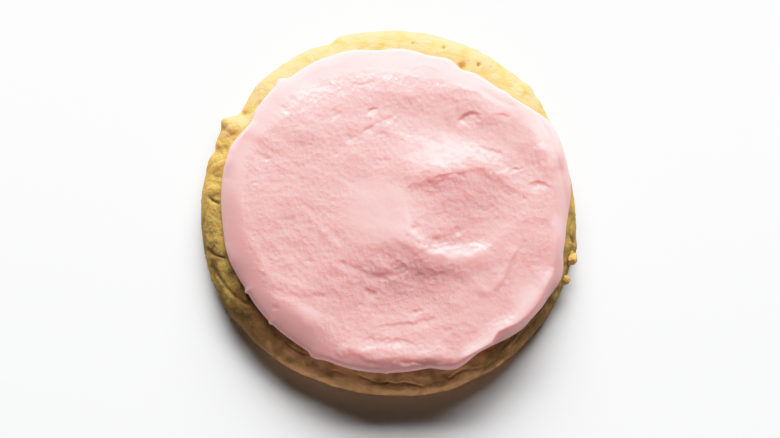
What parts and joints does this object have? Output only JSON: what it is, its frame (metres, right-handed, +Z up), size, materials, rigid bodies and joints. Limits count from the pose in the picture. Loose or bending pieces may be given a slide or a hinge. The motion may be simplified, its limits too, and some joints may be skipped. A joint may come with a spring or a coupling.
{
  "type": "iced sugar cookie",
  "caption": "Thick round soft sugar cookie with a pressed, ragged rim and a swirled layer of pink butter icing spread over its top. Lies flat.",
  "frame": {"origin": "Under the middle of the cookie's outline, on the surface that it lies on.", "axes": "+Z up through the cookie's thickness; +X runs to the right and +Y away from the viewer who looks down on it."},
  "size_m": [0.09, 0.0874, 0.0174],
  "materials": {
    "baked_crumb": "matte",
    "butter_icing": "satin"
  },
  "bodies": {
    "root": {"cookie": "baked_crumb", "icing": "butter_icing"}
  },
  "joints": []
}
